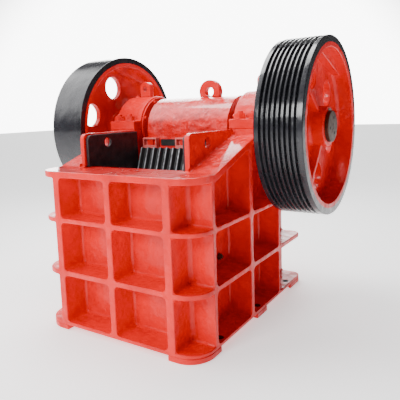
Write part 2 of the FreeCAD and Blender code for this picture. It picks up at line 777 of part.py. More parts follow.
# ---------------------------------------------------------------------------
# Build
# ---------------------------------------------------------------------------
def build():
    os.makedirs("parts", exist_ok=True)
    save_pair("side_plate", side_plate())
    save("front_plate", front_plate())
    save("rear_plate", rear_plate())
    save("base_flange", *base_flange())
    save("feet", *base_feet())
    save("lower_belt", *belt(z_lower, z_lower_top, y_front, y_rear, side_out))
    save("upper_belt", *belt(z_upper, z_upper_top, y_front, y_rear, side_out))
    save("front_top_flange", front_top_flange())
    save("rear_top_flange", rear_top_flange())
    save_pair("slope_flange", slope_flange())
    save("front_centre_ribs", *end_ribs(y_front_edge, y_front))
    save("rear_centre_ribs", *end_ribs(y_rear, y_rear_edge))
    ribs = side_ribs()
    save("right_side_ribs", *ribs)
    save("left_side_ribs", *[mirrored(rib) for rib in ribs])
    save_pair("bearing_saddle", saddle())
    save_pair("bearing_housing", bearing_housing())
    save_pair("bearing_cap", bearing_cap())
    covers = end_covers()
    save("right_end_covers", *covers)
    save("left_end_covers", *[mirrored(cover) for cover in covers])
    save_pair("cap_eye", cap_eye())
    save("fixed_jaw_plate", fixed_jaw_plate())
    save_pair("cheek_plate", cheek_plate())
    save("swing_jaw", swing_jaw())
    save("swing_jaw_plate", swing_jaw_plate())
    save("jaw_clamp", *jaw_clamp())
    save("pitman_eye", pitman_eye())
    save("eccentric_shaft", eccentric_shaft())
    save("pulley_rim", wheel_rim(True))
    save("pulley_disc", wheel_disc(web_holes, 1))
    save("flywheel_rim", mirrored(wheel_rim(False)))
    save("flywheel_disc", mirrored(wheel_disc(web_holes - 1, -1)))
    gussets = wheel_gussets()
    save("pulley_gussets", *gussets)
    save("flywheel_gussets", *[mirrored(gusset) for gusset in gussets])
    save("toggle_block", toggle_block())
    save("toggle_plate", toggle_plate())
    save("tension_rods", tension_rod(), mirrored(tension_rod()))
    save("tension_springs", tension_spring(), mirrored(tension_spring()))


build()
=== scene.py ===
import bmesh
import bpy
import json
import math
from mathutils import Matrix, Vector


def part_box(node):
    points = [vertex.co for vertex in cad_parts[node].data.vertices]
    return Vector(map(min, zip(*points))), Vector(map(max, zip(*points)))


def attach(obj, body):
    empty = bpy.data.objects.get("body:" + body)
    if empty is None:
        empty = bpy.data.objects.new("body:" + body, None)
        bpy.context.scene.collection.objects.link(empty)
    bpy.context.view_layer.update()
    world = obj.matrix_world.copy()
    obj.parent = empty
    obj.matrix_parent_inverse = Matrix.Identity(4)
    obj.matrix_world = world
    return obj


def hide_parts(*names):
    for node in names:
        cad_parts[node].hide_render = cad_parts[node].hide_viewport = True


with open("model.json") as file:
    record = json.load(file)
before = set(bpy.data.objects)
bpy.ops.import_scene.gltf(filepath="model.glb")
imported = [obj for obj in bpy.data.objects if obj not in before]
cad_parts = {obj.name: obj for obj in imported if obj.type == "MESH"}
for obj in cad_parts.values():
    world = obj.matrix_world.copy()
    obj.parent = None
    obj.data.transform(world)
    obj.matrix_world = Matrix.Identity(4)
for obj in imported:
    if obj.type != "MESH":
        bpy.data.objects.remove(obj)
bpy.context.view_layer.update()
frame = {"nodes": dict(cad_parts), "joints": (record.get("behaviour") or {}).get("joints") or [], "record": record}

MM = 0.001


# ---------------------------------------------------------------------------
# Camera
# ---------------------------------------------------------------------------
def set_camera():
    data = bpy.data.cameras.new("Camera")
    data.sensor_width = 36.0
    data.lens = 41.96
    data.shift_x = -0.0065
    data.shift_y = -0.0725
    camera = bpy.data.objects.new("Camera", data)
    bpy.context.scene.collection.objects.link(camera)
    yaw = math.radians(31.9)
    pitch = math.radians(-7.3)
    roll = math.radians(-1.8)
    ahead = Vector((-math.sin(yaw) * math.cos(pitch), math.cos(yaw) * math.cos(pitch), math.sin(pitch)))
    right = Vector((math.cos(yaw), math.sin(yaw), 0.0))
    up = right.cross(ahead)
    turned_right = right * math.cos(roll) + up * math.sin(roll)
    turned_up = up * math.cos(roll) - right * math.sin(roll)
    turn = Matrix((turned_right, turned_up, -ahead)).transposed().to_4x4()
    camera.matrix_world = Matrix.Translation((1.6451, -2.4393, 1.2027)) @ turn
    bpy.context.scene.camera = camera


set_camera()


# ---------------------------------------------------------------------------
# Places, in millimetres, taken from the frame
# ---------------------------------------------------------------------------
def box(node):
    """Lowest and highest corner of a node, in millimetres."""
    low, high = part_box(node)
    return low / MM, high / MM


def levels_of(node, axis):
    """The different coordinates of a node's corners along one axis, in millimetres."""
    found = []
    for value in sorted(v.co[axis] / MM for v in frame["nodes"][node].data.vertices):
        if not found or value - found[-1] > 0.2:
            found.append(value)
    return found


joints = {j["name"]: j for j in frame["joints"]}
slots = {p["node"]: p["material_slot"] for p in frame["record"]["subparts"]}
shaft = Vector(joints["shaft_spin"]["pos_m"]) / MM
eccentric = Vector(joints["pitman_swing"]["pos_m"]) / MM
side_in = box("right_side_plate")[0].x
side_out = box("right_side_plate")[1].x
belt_out = box("right_side_ribs")[1].x
front_edge = box("front_centre_ribs")[0].y
front_wall = box("front_centre_ribs")[1].y
front_inner = box("front_plate")[1].y
rear_edge = box("rear_centre_ribs")[1].y
rear_wall = box("rear_centre_ribs")[0].y
rear_inner = box("rear_plate")[0].y
rib_half = box("front_centre_ribs")[1].x
z_base, z_floor = box("base_flange")[0].z, box("base_flange")[1].z
z_lower, z_lower_top = box("lower_belt")[0].z, box("lower_belt")[1].z
z_upper, z_upper_top = box("upper_belt")[0].z, box("upper_belt")[1].z
z_top, z_top_face = box("front_top_flange")[0].z, box("front_top_flange")[1].z
storeys = ((z_floor, z_lower), (z_lower_top, z_upper), (z_upper_top, z_top))
belts = ((z_base, z_floor), (z_lower, z_lower_top), (z_upper, z_upper_top), (z_top, z_top_face))
rib_faces = levels_of("right_side_ribs", 1)
saddle_low, saddle_high = box("right_bearing_saddle")
slope_high = box("right_slope_flange")[1]
ear_top = box("right_side_plate")[1].z
corner_radius = 136.0
rear_radius = 62.0
hidden = 0.3                     # how far a buried or butted face stays behind its neighbour


# ---------------------------------------------------------------------------
# Mesh helpers: outlines with rounded corners, stacked into closed shells
# ---------------------------------------------------------------------------
def loop(corners, inset=0.0, steps=5):
    """Points of an outline of (a, b, radius) corners, anticlockwise, moved inwards by inset."""
    points = []
    count = len(corners)
    for i in range(count):
        here = Vector(corners[i][:2])
        came = (here - Vector(corners[i - 1][:2])).normalized()
        goes = (Vector(corners[(i + 1) % count][:2]) - here).normalized()
        n_came = Vector((-came.y, came.x))
        n_goes = Vector((-goes.y, goes.x))
        corner = here + (n_came + n_goes) * (inset / (1.0 + n_came.dot(n_goes)))
        radius = corners[i][2]
        if radius <= 0:
            points.append(corner)
            continue
        turn = math.atan2(came.x * goes.y - came.y * goes.x, came.dot(goes))
        side = 1.0 if turn > 0 else -1.0
        size = max(radius - side * inset, 0.5)
        centre = corner - came * (size * math.tan(abs(turn) / 2)) + n_came * (side * size)
        start = -n_came * (side * size)
        for k in range(steps + 1):
            points.append(centre + Matrix.Rotation(turn * k / steps, 2) @ start)
    return points


def ring_faces(bm, first, second):
    for i in range(len(first)):
        j = (i + 1) % len(first)
        bm.faces.new((first[i], first[j], second[j], second[i]))


def stack(bm, place, corners, levels, caps=(True, True), steps=5):
    """Rings of an outline at (depth, inset) levels, joined by faces; caps close its two ends."""
    rings = []
    for depth, inset in levels:
        rings.append([bm.verts.new(place(p.x, p.y, depth)) for p in loop(corners, inset, steps)])
    for first, second in zip(rings, rings[1:]):
        ring_faces(bm, first, second)
    if caps[0]:
        bm.faces.new(rings[0])
    if caps[1]:
        bm.faces.new(rings[-1])
    return rings


def rounded_slab(start, end, radius, steps=3):
    """Levels of a slab from start to end with its edges rounded."""
    levels = []
    for k in range(steps + 1):
        t = math.pi / 2 * k / steps
        levels.append((start + radius * (1 - math.cos(t)), radius * (1 - math.sin(t))))
    return levels + [(start + end - depth, inset) for depth, inset in reversed(levels)]


def hole_levels(start, end, lip, steps=3):
    """Levels of a hole right through a slab, its lips rounded."""
    return [(depth, -inset) for depth, inset in rounded_slab(start, end, lip, steps)]


def pocket_levels(depth, lip, fillet, draft, steps=4):
    """Levels of a blind pocket: a rounded lip, a drafted wall and a hollow round to the floor."""
    levels = []
    for k in range(steps):
        t = math.pi / 2 * k / (steps - 1)
        levels.append((lip * (1 - math.cos(t)), -lip * (1 - math.sin(t))))
    for k in range(steps + 1):
        t = math.pi / 2 * k / steps
        levels.append((depth - fillet + fillet * math.sin(t), draft + fillet * (1 - math.cos(t))))
    return levels


def edges_of(bm, ring):
    return [bm.edges.get((ring[i - 1], ring[i])) for i in range(len(ring))]


def fill(bm, rings):
    """A flat face over the first ring with the others as holes in it."""
    edges = [edge for ring in rings for edge in edges_of(bm, ring)]
    bmesh.ops.triangle_fill(bm, edges=edges, use_beauty=True)


def panel(bm, place, outer, pockets, depth, edge, steps=5):
    """A block with blind pockets; pockets are (corners, levels)."""
    slab = rounded_slab(0.0, depth, edge)
    rings = stack(bm, place, outer, slab, (False, True), steps)
    mouths = [rings[0]]
    for corners, levels in pockets:
        mouths.append(stack(bm, place, corners, levels, (False, True), steps)[0])
    fill(bm, mouths)


def drilled(bm, place, outer, holes, start, end, edge, lip, steps=5):
    """A plate with holes right through it."""
    rings = stack(bm, place, outer, rounded_slab(start, end, edge), (False, False), steps)
    fronts, backs = [rings[0]], [rings[-1]]
    for corners in holes:
        rings = stack(bm, place, corners, hole_levels(start, end, lip), (False, False), steps)
        fronts.append(rings[0])
        backs.append(rings[-1])
    fill(bm, fronts)
    fill(bm, backs)


def circle(a, b, radius):
    """Corners of a full circle."""
    return [(a - radius, b - radius, radius * 0.9999), (a + radius, b - radius, radius * 0.9999),
            (a + radius, b + radius, radius * 0.9999), (a - radius, b + radius, radius * 0.9999)]


def lathe(bm, outline, centre, sections=96):
    """Turn a closed outline of (along, radius) corners about the X axis through centre."""
    rings = []
    for k in range(sections):
        t = 2 * math.pi * k / sections
        ring = []
        for along, radius in outline:
            spot = Vector((along, centre.y - radius * math.sin(t), centre.z + radius * math.cos(t)))
            ring.append(bm.verts.new(spot * MM))
        rings.append(ring)
    for k in range(sections):
        ring_faces(bm, rings[k - 1], rings[k])


def turned(corners, steps=3):
    """Outline for lathe from (along, radius, rounding) corners."""
    return [(p.x, p.y) for p in loop(corners, 0.0, steps)]


def fillet_strip(bm, start, end, first, second, radius, steps=4):
    """A hollow round along the inner corner from start to end; first and second point away from it."""
    bury = (first + second) * -1.5
    rings = []
    for base in (start, end):
        ring = [base + bury]
        for k in range(steps + 1):
            t = math.pi / 2 * k / steps
            ring.append(base + first * (radius * (1 - math.sin(t))) + second * (radius * (1 - math.cos(t))))
        ring[1] = ring[1] + second * -0.3
        ring[-1] = ring[-1] + first * -0.3
        rings.append([bm.verts.new(p * MM) for p in ring])
    ring_faces(bm, rings[0], rings[1])
    bm.faces.new(rings[0])
    bm.faces.new(rings[1])


def grown(obj):
    """Apply an object's modifiers, leaving a plain mesh."""
    depsgraph = bpy.context.evaluated_depsgraph_get()
    mesh = bpy.data.meshes.new_from_object(obj.evaluated_get(depsgraph))
    old = obj.data
    obj.modifiers.clear()
    obj.data = mesh
    bpy.data.meshes.remove(old)
    mesh.name = obj.name
    return obj


def flat_faces_first(obj):
    """Smooth shading that keeps the large flat faces flat."""
    obj.data.shade_smooth()
    obj.data.set_sharp_from_angle(angle=math.radians(40))
    modifier = obj.modifiers.new("Weighted normals", "WEIGHTED_NORMAL")
    modifier.keep_sharp = True
    modifier.weight = 50
    return grown(obj)


def new_object(name, bm):
    bmesh.ops.remove_doubles(bm, verts=bm.verts, dist=1e-6)
    bmesh.ops.recalc_face_normals(bm, faces=bm.faces)
    mesh = bpy.data.meshes.new(name)
    bm.to_mesh(mesh)
    bm.free()
    obj = bpy.data.objects.new(name.replace(" ", "_").lower(), mesh)
    bpy.context.scene.collection.objects.link(obj)
    return obj


def rough_tops(obj):
    """The upward faces of the top flange and the slopes carry the roughest skin."""
    obj.data.materials.append(red)
    obj.data.materials.append(lumpy_red)
    for face in obj.data.polygons:
        if face.normal.z > 0.7 and face.center.z > (z_top_face - 8) * MM:
            face.material_index = 1
    return obj


def finish_piece(obj, material, body, nodes=()):
    """Shade, paint and attach one piece; nodes are what it stands for."""
    flat_faces_first(obj)
    if not obj.data.materials:
        obj.data.materials.append(material)
    if nodes:
        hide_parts(*nodes)
    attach(obj, body)


def bevelled_copy(name, node, width, segments=3, angle=32.0):
    """The node's own shape with its edges rounded."""
    bm = bmesh.new()
    bm.from_mesh(frame["nodes"][node].data)
    bmesh.ops.remove_doubles(bm, verts=bm.verts, dist=2e-5)
    bmesh.ops.dissolve_limit(bm, angle_limit=math.radians(0.6), verts=bm.verts, edges=bm.edges)
    obj = new_object(name, bm)
    modifier = obj.modifiers.new("Rounded edges", "BEVEL")
    modifier.width = width * MM
    modifier.segments = segments
    modifier.limit_method = "ANGLE"
    modifier.angle_limit = math.radians(angle)
    modifier.use_clamp_overlap = True
    return grown(obj)


# ---------------------------------------------------------------------------
# Materials
# ---------------------------------------------------------------------------
class Nodes:
    """A material's node tree with short ways to add to it."""

    def __init__(self, name):
        self.material = bpy.data.materials.new(name)
        self.material.use_nodes = True
        self.tree = self.material.node_tree
        self.shader = self.tree.nodes["Principled BSDF"]
        self.coords = self.tree.nodes.new("ShaderNodeTexCoord")

    def noise(self, scale, detail=3.0, roughness=0.55):
        node = self.tree.nodes.new("ShaderNodeTexNoise")
        node.inputs["Scale"].default_value = scale
        node.inputs["Detail"].default_value = detail
        node.inputs["Roughness"].default_value = roughness
        self.tree.links.new(self.coords.outputs["Object"], node.inputs["Vector"])
        return node.outputs["Fac"]

    def ramp(self, value, *stops):
        node = self.tree.nodes.new("ShaderNodeValToRGB")
        while len(node.color_ramp.elements) < len(stops):
            node.color_ramp.elements.new(0.5)
        for element, (place, colour) in zip(node.color_ramp.elements, stops):
            element.position = place
            element.color = (*colour, 1.0)
        self.tree.links.new(value, node.inputs["Fac"])
        return node.outputs["Color"]

    def span(self, value, low, high, from_low=0.3, from_high=0.7):
        node = self.tree.nodes.new("ShaderNodeMapRange")
        node.inputs["From Min"].default_value = from_low
        node.inputs["From Max"].default_value = from_high
        node.inputs["To Min"].default_value = low
        node.inputs["To Max"].default_value = high
        self.tree.links.new(value, node.inputs["Value"])
        return node.outputs["Result"]

    def bump(self, height, distance, strength=1.0, after=None):
        node = self.tree.nodes.new("ShaderNodeBump")
        node.inputs["Distance"].default_value = distance
        node.inputs["Strength"].default_value = strength
        self.tree.links.new(height, node.inputs["Height"])
        if after is not None:
            self.tree.links.new(after, node.inputs["Normal"])
        return node.outputs["Normal"]

    def set(self, socket, value):
        if isinstance(value, bpy.types.NodeSocket):
            self.tree.links.new(value, self.shader.inputs[socket])
        else:
            self.shader.inputs[socket].default_value = value


def enamel(name, dark, mid, light, rough_low, rough_high, lumps, coat):
    """Gloss enamel brushed over a sand casting."""
    n = Nodes(name)
    cloud = n.noise(5.0, 5.0, 0.6)
    n.set("Base Color", n.ramp(cloud, (0.3, dark), (0.5, mid), (0.72, light)))
    n.set("Roughness", n.span(n.noise(14.0, 4.0), rough_low, rough_high))
    n.set("Specular IOR Level", 0.22)
    n.set("Coat Weight", coat)
    n.set("Coat Roughness", 0.1)
    broad = n.bump(n.noise(9.0, 1.5), 0.02 * lumps)
    middle = n.bump(n.noise(34.0, 2.0), 0.004 * lumps, after=broad)
    fine = n.bump(n.noise(260.0, 2.0), 0.0004 * lumps, after=middle)
    n.set("Normal", fine)
    return n.material


def worn_steel(name, dark, light, metallic, rough_low, rough_high, lumps):
    n = Nodes(name)
    n.set("Base Color", n.ramp(n.noise(22.0, 6.0, 0.65), (0.32, dark), (0.68, light)))
    n.set("Metallic", metallic)
    n.set("Roughness", n.span(n.noise(40.0, 5.0), rough_low, rough_high))
    broad = n.bump(n.noise(16.0, 2.0), 0.01 * lumps)
    fine = n.bump(n.noise(180.0, 4.0), 0.0008 * lumps, after=broad)
    n.set("Normal", fine)
    return n.material


def toothed_steel(name, pitch, crest):
    """Dark casting with a painted highlight: a bright line along the crest of every tooth."""
    n = Nodes(name)
    split = n.tree.nodes.new("ShaderNodeSeparateXYZ")
    n.tree.links.new(n.coords.outputs["Object"], split.inputs["Vector"])
    fold = n.tree.nodes.new("ShaderNodeMath")
    fold.operation = "PINGPONG"
    fold.inputs[1].default_value = pitch / 2 * MM
    n.tree.links.new(split.outputs["X"], fold.inputs[0])
    # Painted highlight: a pale grey line on each tooth crest stands in for light caught on the tips, broken up by
    # noise.
    line = n.span(fold.outputs["Value"], 1.0, 0.0, crest * 0.6 * MM, crest * MM)
    crest_highlight = n.tree.nodes.new("ShaderNodeMath")
    crest_highlight.operation = "MULTIPLY"
    n.tree.links.new(line, crest_highlight.inputs[0])
    n.tree.links.new(n.span(n.noise(30.0, 5.0), 0.35, 1.0), crest_highlight.inputs[1])
    n.set("Base Color", n.ramp(crest_highlight.outputs["Value"], (0.0, (0.010, 0.009, 0.010)),
                               (0.35, (0.05, 0.045, 0.05)), (1.0, (0.42, 0.42, 0.45))))
    n.set("Metallic", 0.3)
    n.set("Roughness", n.span(n.noise(40.0, 5.0), 0.35, 0.55))
    n.set("Normal", n.bump(n.noise(60.0, 3.0), 0.002))
    return n.material


red = enamel("Red enamel over casting", (0.58, 0.001, 0.001), (0.72, 0.0015, 0.0015), (0.80, 0.003, 0.003),
             0.30, 0.48, 1.0, 0.18)
lumpy_red = enamel("Red enamel over rough casting", (0.62, 0.002, 0.002), (0.74, 0.003, 0.003),
                   (0.80, 0.006, 0.006), 0.24, 0.42, 3.2, 0.9)
clamp_red = enamel("Red enamel worn thin", (0.50, 0.05, 0.045), (0.66, 0.12, 0.11), (0.72, 0.22, 0.20),
                   0.25, 0.45, 1.5, 0.5)
black = enamel("Black enamel", (0.010, 0.010, 0.013), (0.014, 0.014, 0.018), (0.022, 0.022, 0.027),
               0.18, 0.32, 0.35, 0.45)
manganese = worn_steel("Manganese steel", (0.016, 0.012, 0.014), (0.05, 0.035, 0.04), 0.35, 0.28, 0.5, 0.8)
brown_steel = worn_steel("Browned shaft steel", (0.035, 0.016, 0.010), (0.11, 0.055, 0.035),
                         0.7, 0.3, 0.5, 0.15)
teeth = toothed_steel("Worn jaw teeth", 50.0, 5.0)
bolt_steel = worn_steel("Plated bolt steel", (0.20, 0.16, 0.13), (0.42, 0.37, 0.32), 0.85, 0.3, 0.5, 0.1)
grey_iron = worn_steel("Toggle casting", (0.07, 0.06, 0.055), (0.15, 0.14, 0.13), 0.3, 0.5, 0.75, 1.0)
dark_spring = worn_steel("Spring steel", (0.03, 0.03, 0.033), (0.08, 0.08, 0.085), 0.6, 0.3, 0.5, 0.1)
# Painted shade: a near-black finish for dark discs and sheets that stand in for the unlit inside of holes and
# slots.
hollow = worn_steel("Unlit hollow", (0.004, 0.003, 0.003), (0.010, 0.007, 0.006), 0.0, 0.7, 0.9, 0.3)


# ---------------------------------------------------------------------------
# Frame casting: end walls
# ---------------------------------------------------------------------------
pocket_corner = 24.0
pocket_fillet = 18.0
pocket_draft = 3.0
pocket_floor = 2.0               # how far a pocket's floor stands in front of the wall's own face
lip = 5.0
edge = 5.0


def end_panel(bm, place, depth, wall_depth):
    """A front or rear wall: six pockets between the belts, the fins and the middle rib."""
    half = side_out - hidden
    outer = [(-half, z_base, 0), (half, z_base, 0), (half, z_top_face, 0), (-half, z_top_face, 0)]
    levels = pocket_levels(depth - pocket_floor, lip, pocket_fillet, pocket_draft)
    pockets = []
    for low, high in storeys:
        for x0, x1 in ((-side_in, -rib_half), (rib_half, side_in)):
            corners = [(x0, low, pocket_corner), (x1, low, pocket_corner), (x1, high, pocket_corner),
                       (x0, high, pocket_corner)]
            pockets.append((corners, levels))
    panel(bm, place, outer, pockets, wall_depth, edge)


def front_wall_piece():
    bm = bmesh.new()
    end_panel(bm, lambda x, z, w: Vector((x, front_edge + w, z)) * MM, front_wall - front_edge,
              front_inner - front_edge)
    high = box("front_top_flange")[1]
    lid = [(-side_in, front_inner - 40, 0), (side_in, front_inner - 40, 0), (side_in, high.y, 6),
           (-side_in, high.y, 6)]
    stack(bm, lambda x, y, w: Vector((x, y, z_top + w)) * MM, lid,
          rounded_slab(0, z_top_face - z_top - hidden, edge))
    finish_piece(rough_tops(new_object("Front wall", bm)), red, "frame",
                 ("front_plate", "front_centre_ribs", "front_top_flange"))


def rear_wall_piece():
    bm = bmesh.new()
    end_panel(bm, lambda x, z, w: Vector((x, rear_edge - w, z)) * MM, rear_edge - rear_wall,
              rear_edge - rear_inner)
    finish_piece(rough_tops(new_object("Rear wall", bm)), red, "frame",
                 ("rear_plate", "rear_centre_ribs", "rear_top_flange"))


# ---------------------------------------------------------------------------
# Frame casting: sides
# ---------------------------------------------------------------------------
housing_radius = box("right_bearing_housing")[1].y - shaft.y
slope_start = shaft.y - 762.0
slope_rise = (slope_high.z - z_top_face) / (slope_high.y - slope_start)
slope_drop = 37.0
ear_front = shaft.y - 742.0
ear_thick = 30.0
flange_round = 14.0              # hollow rounds where the ear stands on the flange and the slope
rib_round = 22.0                 # hollow rounds down the corners between wall and rib
belt_round = 16.0                # hollow rounds along the belts


def slope_at(y):
    return z_top_face + (y - slope_start) * slope_rise


def arc_about_shaft(radius, start, end, steps):
    """Corners on a circle about the shaft, angles from straight down towards the front."""
    spots = []
    for k in range(steps + 1):
        t = math.radians(start + (end - start) * k / steps)
        spots.append((shaft.y - radius * math.sin(t), shaft.z - radius * math.cos(t), 0))
    return spots


def side_piece(side, name):
    bm = bmesh.new()
    s1, s1_back, s2, s2_back, s3, s3_back = rib_faces[:6]
    depth = belt_out - side_out

    def place(y, z, w):
        return Vector((side * (belt_out - w), y, z)) * MM

    outer = [(s1, z_base, 0), (s3_back, z_base, 0)]
    outer += arc_about_shaft(housing_radius + 21, -9.0, 76.0, 12)
    outer += [(slope_high.y - 2, slope_at(slope_high.y - 2) - hidden, 0), (slope_start, z_top_face, 110),
              (s1, z_top_face, 0)]
    levels = pocket_levels(depth - pocket_floor, lip, pocket_fillet, pocket_draft)
    pockets = []
    for low, high in storeys[:2]:
        for y0, y1 in ((s1_back, s2), (s2_back, s3)):
            pockets.append(([(y0, low, pocket_corner), (y1, low, pocket_corner),
                             (y1, high, pocket_corner), (y0, high, pocket_corner)], levels))
    low = z_upper_top
    pockets.append(([(s1_back, low, pocket_corner), (s2, low, pocket_corner),
                     (s2, slope_at(s2) - slope_drop, pocket_corner),
                     (slope_start + 6, z_top, 40), (s1_back, z_top - 1, 6)], levels))
    upper = [(s2_back, low, pocket_corner), (s3, low, pocket_corner)]
    upper += arc_about_shaft(housing_radius + 55, -0.6, 62.0, 9)
    upper += [(slope_high.y - 12, slope_at(slope_high.y - 12) - slope_drop, 12),
              (s2_back, slope_at(s2_back) - slope_drop, pocket_corner)]
    pockets.append((upper, levels))
    panel(bm, place, outer, pockets, depth + 12, edge)

    low, high = saddle_low, saddle_high
    wall = [(front_inner - 20, z_base + 4, 0), (rear_inner + 20, z_base + 4, 0),
            (rear_inner + 20, z_top, 0), (high.y, shaft.z - 40, 0), (high.y, shaft.z - hidden, 0)]
    wall += arc_about_shaft(housing_radius + 0.6, -89.9, 89.9, 24)
    wall += [(low.y, shaft.z - hidden, 0), (low.y, slope_at(low.y) - 1, 0), (slope_start, z_top_face - 1, 0),
             (front_inner - 20, z_top_face - 1, 0)]
    stack(bm, lambda y, z, w: Vector((side * (side_in + w), y, z)) * MM, wall,
          rounded_slab(0, side_out - side_in, 2))

    hole = {m["name"]: m for m in frame["record"]["mounts"]}["lifting_holes"]
    hole_y, hole_z = hole["pos_m"][1] / MM, hole["pos_m"][2] / MM
    ear = [(ear_front, z_top - 10, 0), (low.y - 1, z_top - 10, 0), (low.y - 1, ear_top, 6),
           (ear_front, ear_top, 34)]
    drilled(bm, lambda y, z, w: Vector((side * (side_in + w), y, z)) * MM, ear,
            [circle(hole_y, hole_z, hole["dims"]["r_mm"])], 0, ear_thick, 5, 4, 8)

    up = Vector((0, 0, 1))
    out = Vector((side, 0, 0))
    back = Vector((0, 1, 0))
    foot = Vector((side * (side_in + ear_thick), 0, 0))
    along = Vector((0, 1, slope_rise)).normalized()
    normal = Vector((0, -slope_rise, 1)).normalized()
    start = foot + Vector((0, slope_start + 8, slope_at(slope_start + 8)))
    fillet_strip(bm, start, start + along * (low.y - slope_start) / along.y, out, normal, flange_round)
    flat = foot + Vector((0, ear_front, z_top_face))
    fillet_strip(bm, flat, flat + back * 40, out, up, flange_round)
    for z0, z1 in storeys:
        # front corner: the fin, the first rib and the belts above and below
        for y_rib, ahead, y_far in ((s1, -back, front_edge), (s3_back, back, rear_edge)):
            if y_rib == s3_back and z0 == storeys[2][0]:
                continue
            root = Vector((side * side_out, y_rib, 0))
            fillet_strip(bm, root + up * z0, root + up * z1, out, ahead, rib_round)
            for z, way in ((z0, up), (z1, -up)):
                corner = root + up * z
                fillet_strip(bm, corner, Vector((side * side_out, y_far + (6 if ahead.y < 0 else -6), z)),
                             out, way, belt_round)
                fillet_strip(bm, corner, corner + out * (depth - 5), ahead, way, belt_round)
    finish_piece(rough_tops(new_object(name + " side", bm)), red, "frame",
                 (name.lower() + "_side_plate", name.lower() + "_side_ribs", name.lower() + "_slope_flange"))


def corner_belts():
    """The belts where they run round the corners between the walls."""
    bm = bmesh.new()
    inner = side_out - 10
    outer = belt_out - hidden
    s1, s3_back = rib_faces[0], rib_faces[5]
    for level, (z0, z1) in enumerate(belts):
        rear_start = rear_wall + 0.4 if level == 3 else s3_back - 10
        for side in (-1, 1):
            for y0, y1, near, far in ((front_edge + hidden, s1 + 10, corner_radius, 0),
                                      (rear_start, rear_edge - hidden, 0, rear_radius)):
                plan = [(inner, y0, 0), (outer, y0, near), (outer, y1, far), (inner, y1, 0)]
                stack(bm, lambda x, y, w: Vector((side * x, y, z0 + w)) * MM, plan,
                      rounded_slab(0, z1 - z0, edge), steps=12)
    finish_piece(rough_tops(new_object("Corner belts", bm)), red, "frame",
                 ("base_flange", "lower_belt", "upper_belt"))


# ---------------------------------------------------------------------------
# Wheels and shaft
# ---------------------------------------------------------------------------
rim_low, rim_high = box("pulley_rim")
rim_radius = rim_high.z - shaft.z
rim_inner = rim_radius - 66.0
band = rim_radius - 38.0         # the black of the rim's face ends here
hub_radius = 116.0
hub_reach = 84.0                 # how far the hub stands out of the web on each side
hub_bore = 90.3
web_back, web_front = 723.5, 768.5
hole_circle = 300.0
hole_radius = 79.0
weight_flat = 386.0              # from the shaft's centre to the counterweight's straight edge
weight_depth = 54
hole_angles = [9.7 + 60 * k for k in range(6)]
weight_turn = -17.5


def wheel_rim(side, name, node, grooved):
    """Rim with its tread; the red of the web runs part of the way up its outer face."""
    x0, x1 = rim_low.x, rim_high.x
    corners = [(x0, rim_inner, 6), (x1, rim_inner, 6), (x1, band, 0), (x1, rim_radius, 5)]
    if grooved:
        for k in range(7, -1, -1):
            x = (x0 + x1) / 2 + (k - 3.5) * 27.0
            corners += [(x + 9.5, rim_radius, 1.2), (x + 4.0, rim_radius - 20, 1.5),
                        (x - 4.0, rim_radius - 20, 1.5), (x - 9.5, rim_radius, 1.2)]
    corners += [(x0, rim_radius, 5), (x0, band, 0)]
    bm = bmesh.new()
    outline = [(side * x, r) for x, r in turned(corners)]
    lathe(bm, outline, shaft, sections=160)
    for face in bm.faces:
        spot = face.calc_center_median() / MM
        radius = math.hypot(spot.y - shaft.y, spot.z - shaft.z)
        face.material_index = 0 if radius > band else 1
    obj = new_object(name, bm)
    obj.data.materials.append(black)
    obj.data.materials.append(red)
    finish_piece(obj, black, "rotor", (node,))


def wheel_disc(side, name, node, hole_count, weight):
    """Web with its holes, hub, hollow rounds and the counterweight on one face."""
    bm = bmesh.new()

    def place(y, z, w):
        return Vector((side * w, y, z)) * MM

    holes = []
    for angle in hole_angles[:hole_count]:
        t = math.radians(angle)
        holes.append(circle(shaft.y - hole_circle * math.sin(t), shaft.z + hole_circle * math.cos(t),
                            hole_radius))
    drilled(bm, place, circle(shaft.y, shaft.z, rim_inner + 4), holes, web_back, web_front, 0.5, 7, 14)
    out, back = web_front + hub_reach, web_back - hub_reach
    hub = turned([(back, hub_bore, 0), (back, hub_radius, 6), (web_back, hub_radius + 2, 24),
                  (web_back + 1, hub_radius + 50, 0), (web_front - 1, hub_radius + 50, 0),
                  (web_front, hub_radius + 2, 24), (out, hub_radius, 6), (out, hub_bore, 2)][::-1], 5)
    lathe(bm, [(side * x, r) for x, r in hub], shaft)
    for face, way in ((web_front, 1), (web_back, -1)):
        ring = [(face - way, rim_inner + 3), (face - way, rim_inner - 26)]
        for k in range(6):
            t = math.pi / 2 * k / 5
            ring.append((face + way * 24 * (1 - math.cos(t)), rim_inner - 24 + 24 * math.sin(t)))
        ring.append((face + way * 24, rim_inner + 3))
        lathe(bm, [(side * x, r) for x, r in ring], shaft)
    half = math.degrees(math.acos(weight_flat / (rim_inner + 3)))
    segment = []
    for k in range(17):
        t = math.radians(weight_turn - half + 2 * half * k / 16)
        segment.append((shaft.y - (rim_inner + 3) * math.sin(t), shaft.z + (rim_inner + 3) * math.cos(t), 0))
    start = web_front - 2 if weight > 0 else web_back + 2
    levels = [(start + weight * depth, inset) for depth, inset in rounded_slab(0, weight_depth, 7)[4:]]
    stack(bm, place, segment, [(start, 0)] + levels)
    finish_piece(new_object(name, bm), red, "rotor", (node,))


def wheel_gussets(side, name, node):
    bm = bmesh.new()
    for angle in hole_angles[::2]:
        turn = Matrix.Rotation(math.radians(angle + 30), 3, "X")
        centre = Vector((0, shaft.y, shaft.z))

        def place(x, r, w, turn=turn, centre=centre):
            spot = centre + turn @ Vector((x, w, r))
            return Vector((side * spot.x, spot.y, spot.z)) * MM

        corners = [(web_front - 3, hub_radius - 8, 0), (web_front + 54, hub_radius - 8, 0),
                   (web_front + 5, rim_inner + 3, 0), (web_front - 3, rim_inner + 3, 0)]
        stack(bm, place, corners, rounded_slab(-13, 13, 5))
    finish_piece(new_object(name, bm), red, "rotor", (node,))


